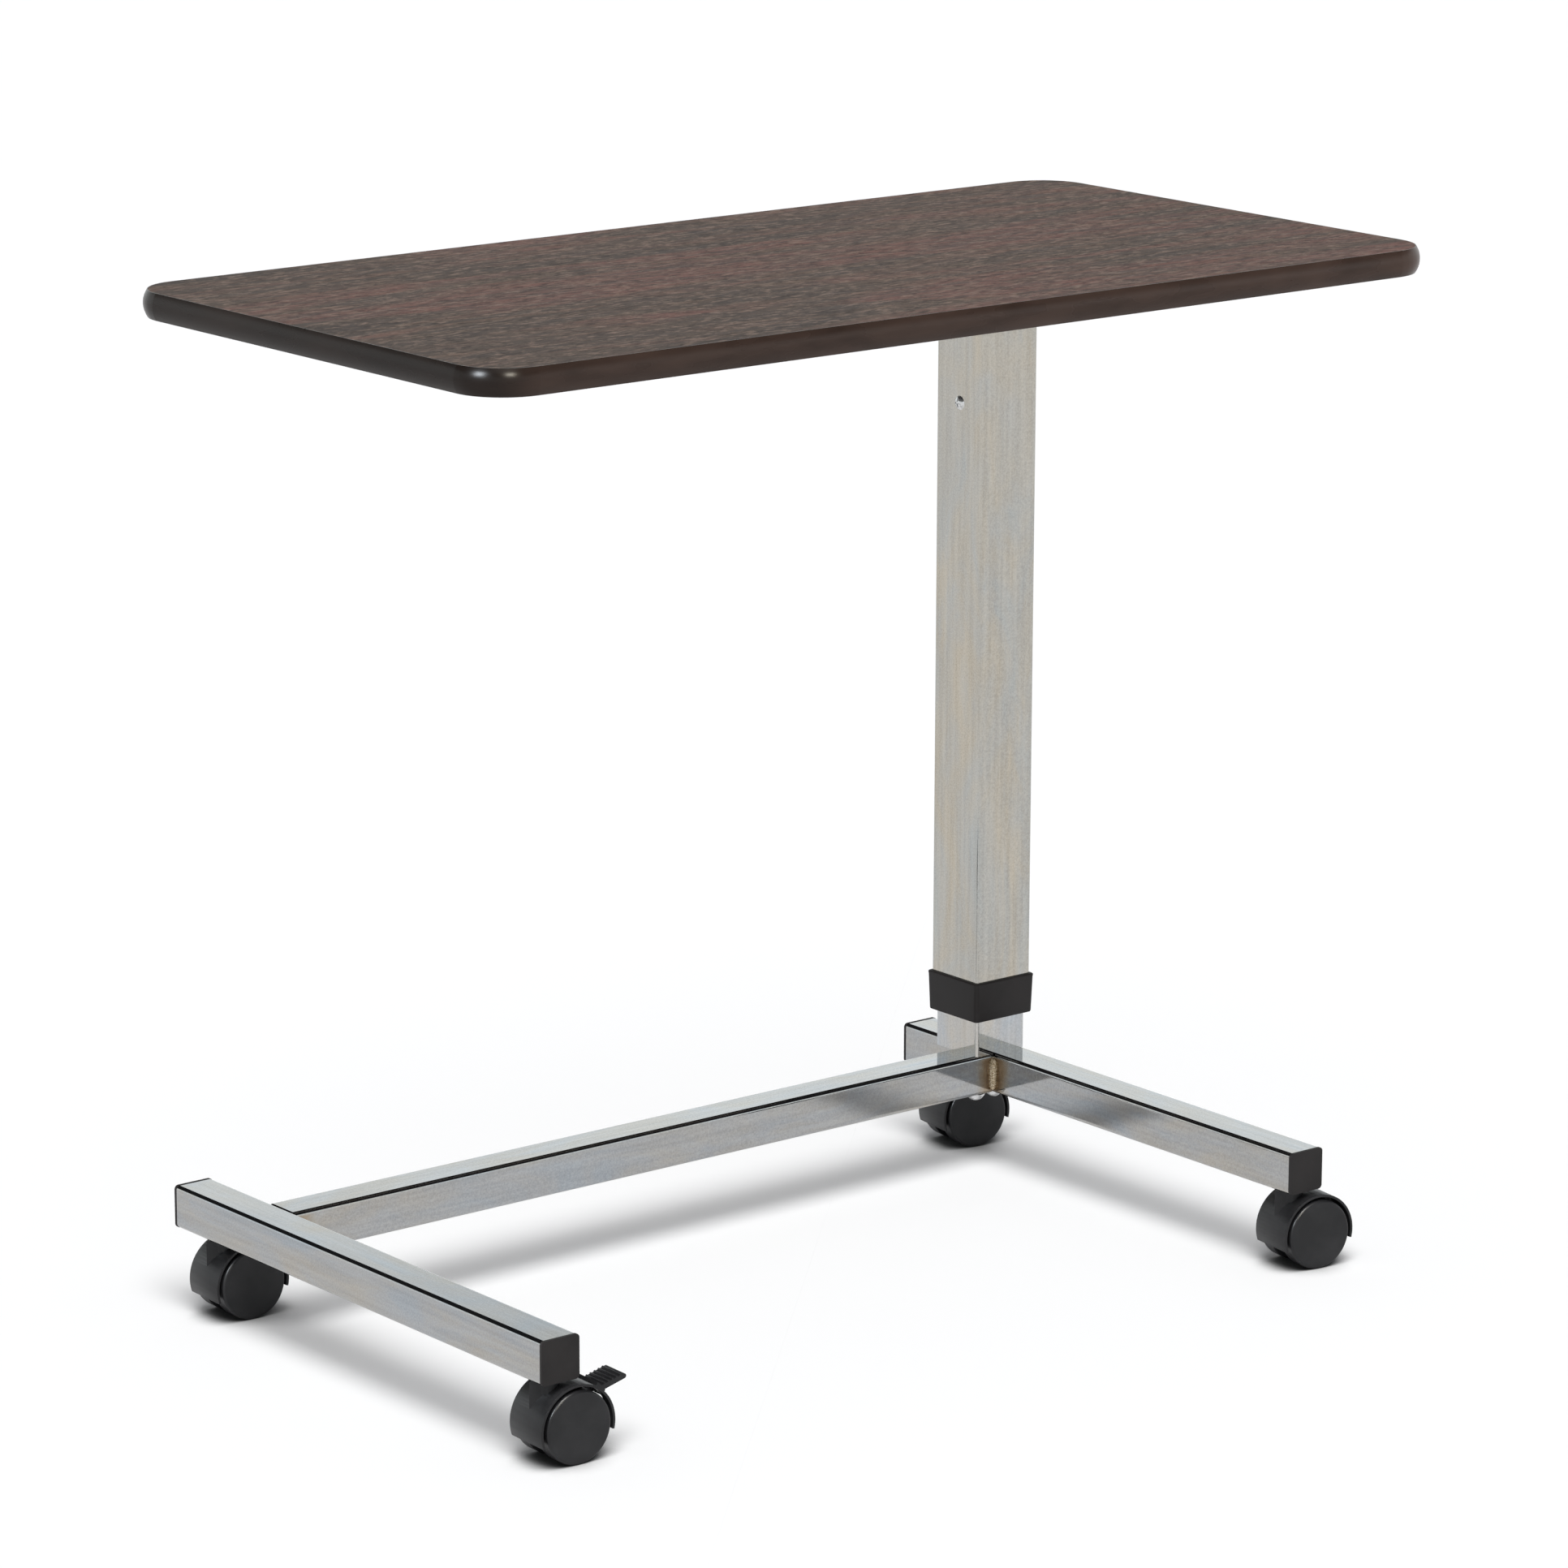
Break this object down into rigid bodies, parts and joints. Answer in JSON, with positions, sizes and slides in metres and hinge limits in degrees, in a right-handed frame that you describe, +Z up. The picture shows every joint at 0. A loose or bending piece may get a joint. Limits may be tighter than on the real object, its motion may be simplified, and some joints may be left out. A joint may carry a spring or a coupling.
{
  "type": "overbed table",
  "caption": "Overbed table: rectangular woodgrain top on an offset telescopic column over an H-shaped tube base with twin-wheel casters, height set by a release lever.",
  "frame": {"origin": "middle of the whole table's footprint, on the floor", "axes": "+Z up; +X along the tabletop, towards the end that the column stands at; -Y is the front, where the foot rails reach out"},
  "size_m": [0.8995, 0.5581, 0.692],
  "materials": {
    "bright_rails": "bright zinc plating with a faint blue and yellow tint, mirror-like",
    "brushed_columns": "satin plated tube with fine upright brush marks",
    "weld_metal": "rippled weld bead, plated over, straw coloured",
    "black_plastic": "moulded black plastic with a fine grain",
    "caster_plastic": "moulded black nylon, satin",
    "zinc_fasteners": "bright zinc plating",
    "polished_rod": "ground and polished",
    "black_steel": "black powder coat",
    "spring_internals": "turned steel",
    "white_nylon": "natural nylon",
    "particle_board": "pressed wood chips",
    "walnut_laminate": "walnut-pattern laminate with a fine pore texture",
    "backing_sheet": "plain dark backing laminate",
    "edge_band": "dark brown vinyl, semi-gloss"
  },
  "bodies": {
    "base": {"left_foot_rail": "bright_rails", "right_foot_rail": "bright_rails", "cross_bar": "bright_rails", "inner_column": "brushed_columns", "weld_beads": "weld_metal", "end_cap_front_left": "black_plastic", "end_cap_front_right": "black_plastic", "end_cap_rear_left": "black_plastic", "end_cap_rear_right": "black_plastic", "stem_sockets": "zinc_fasteners", "caster_stem_front_left": "zinc_fasteners", "caster_stem_front_right": "zinc_fasteners", "caster_stem_rear_left": "zinc_fasteners", "caster_stem_rear_right": "zinc_fasteners", "upper_glide": "white_nylon", "spring_foot": "black_steel", "anchor_bolts": "zinc_fasteners", "gas_spring_cylinder": "black_steel", "gas_spring_guide": "spring_internals"},
    "top_assembly": {"tabletop_core": "particle_board", "top_laminate": "walnut_laminate", "backing_laminate": "backing_sheet", "edge_moulding": "edge_band", "support_channel": "black_steel", "support_screws": "zinc_fasteners", "outer_column": "brushed_columns", "column_collar": "black_plastic", "head_block": "white_nylon", "head_screws": "zinc_fasteners", "gas_spring_rod": "polished_rod", "gas_spring_piston": "spring_internals", "lever_bracket": "black_steel", "lever_pin": "zinc_fasteners", "push_rod_guide": "white_nylon"},
    "height_lever": {"release_lever": "black_steel", "lever_grip": "black_plastic"},
    "valve_release": {"valve_pin": "zinc_fasteners", "push_rod": "zinc_fasteners"},
    "caster_front_left": {"caster_hood_front_left": "caster_plastic", "caster_axle_front_left": "zinc_fasteners", "pedal_pin_front_left": "zinc_fasteners"},
    "roller_front_left_a": {"wheel_front_left_a": "caster_plastic"},
    "roller_front_left_b": {"wheel_front_left_b": "caster_plastic"},
    "pedal_front_left": {"brake_pedal_front_left": "caster_plastic"},
    "caster_front_right": {"caster_hood_front_right": "caster_plastic", "caster_axle_front_right": "zinc_fasteners"},
    "roller_front_right_a": {"wheel_front_right_a": "caster_plastic"},
    "roller_front_right_b": {"wheel_front_right_b": "caster_plastic"},
    "caster_rear_left": {"caster_hood_rear_left": "caster_plastic", "caster_axle_rear_left": "zinc_fasteners"},
    "roller_rear_left_a": {"wheel_rear_left_a": "caster_plastic"},
    "roller_rear_left_b": {"wheel_rear_left_b": "caster_plastic"},
    "caster_rear_right": {"caster_hood_rear_right": "caster_plastic", "caster_axle_rear_right": "zinc_fasteners", "pedal_pin_rear_right": "zinc_fasteners"},
    "roller_rear_right_a": {"wheel_rear_right_a": "caster_plastic"},
    "roller_rear_right_b": {"wheel_rear_right_b": "caster_plastic"},
    "pedal_rear_right": {"brake_pedal_rear_right": "caster_plastic"}
  },
  "joints": [
    {"name": "height_lift", "type": "slide", "parent": "base", "child": "top_assembly", "axis": [0, 0, 1], "range_m": [0, 0.36]},
    {"name": "lever_squeeze", "type": "hinge", "parent": "top_assembly", "child": "height_lever", "pos_m": [0.25838, 0.07396, 0.65], "axis": [0, -1, 0], "range_deg": [0, 4], "stiffness_Nm_per_rad": 3, "springref_deg": -2.86},
    {"name": "valve_press", "type": "slide", "parent": "top_assembly", "child": "valve_release", "axis": [0, 0, -1], "range_m": [0, 0.0032]},
    {"name": "swivel_front_left", "type": "hinge", "parent": "base", "child": "caster_front_left", "pos_m": [-0.43267, -0.25479, 0.0575], "axis": [0, 0, 1], "continuous": true},
    {"name": "roll_front_left_a", "type": "hinge", "parent": "caster_front_left", "child": "roller_front_left_a", "pos_m": [-0.42017, -0.25523, 0.025], "axis": [0.0349, 0.9994, 0], "continuous": true},
    {"name": "roll_front_left_b", "type": "hinge", "parent": "caster_front_left", "child": "roller_front_left_b", "pos_m": [-0.42017, -0.25523, 0.025], "axis": [0.0349, 0.9994, 0], "continuous": true},
    {"name": "brake_front_left", "type": "hinge", "parent": "caster_front_left", "child": "pedal_front_left", "pos_m": [-0.40818, -0.25565, 0.042], "axis": [0.0349, 0.9994, 0], "range_deg": [0, 15]},
    {"name": "swivel_front_right", "type": "hinge", "parent": "base", "child": "caster_front_right", "pos_m": [0.22163, -0.25479, 0.0575], "axis": [0, 0, 1], "continuous": true},
    {"name": "roll_front_right_a", "type": "hinge", "parent": "caster_front_right", "child": "roller_front_right_a", "pos_m": [0.23401, -0.25653, 0.025], "axis": [0.1392, 0.9903, 0], "continuous": true},
    {"name": "roll_front_right_b", "type": "hinge", "parent": "caster_front_right", "child": "roller_front_right_b", "pos_m": [0.23401, -0.25653, 0.025], "axis": [0.1392, 0.9903, 0], "continuous": true},
    {"name": "swivel_rear_left", "type": "hinge", "parent": "base", "child": "caster_rear_left", "pos_m": [-0.43267, 0.11721, 0.0575], "axis": [0, 0, 1], "continuous": true},
    {"name": "roll_rear_left_a", "type": "hinge", "parent": "caster_rear_left", "child": "roller_rear_left_a", "pos_m": [-0.42017, 0.11677, 0.025], "axis": [0.0349, 0.9994, 0], "continuous": true},
    {"name": "roll_rear_left_b", "type": "hinge", "parent": "caster_rear_left", "child": "roller_rear_left_b", "pos_m": [-0.42017, 0.11677, 0.025], "axis": [0.0349, 0.9994, 0], "continuous": true},
    {"name": "swivel_rear_right", "type": "hinge", "parent": "base", "child": "caster_rear_right", "pos_m": [0.22163, 0.11721, 0.0575], "axis": [0, 0, 1], "continuous": true},
    {"name": "roll_rear_right_a", "type": "hinge", "parent": "caster_rear_right", "child": "roller_rear_right_a", "pos_m": [0.23401, 0.11547, 0.025], "axis": [0.1392, 0.9903, 0], "continuous": true},
    {"name": "roll_rear_right_b", "type": "hinge", "parent": "caster_rear_right", "child": "roller_rear_right_b", "pos_m": [0.23401, 0.11547, 0.025], "axis": [0.1392, 0.9903, 0], "continuous": true},
    {"name": "brake_rear_right", "type": "hinge", "parent": "caster_rear_right", "child": "pedal_rear_right", "pos_m": [0.2459, 0.1138, 0.042], "axis": [0.1392, 0.9903, 0], "range_deg": [0, 15]}
  ],
  "couplings": [
    {"joint": "valve_press", "follows": "lever_squeeze", "m_per_rad": 0.045}
  ]
}
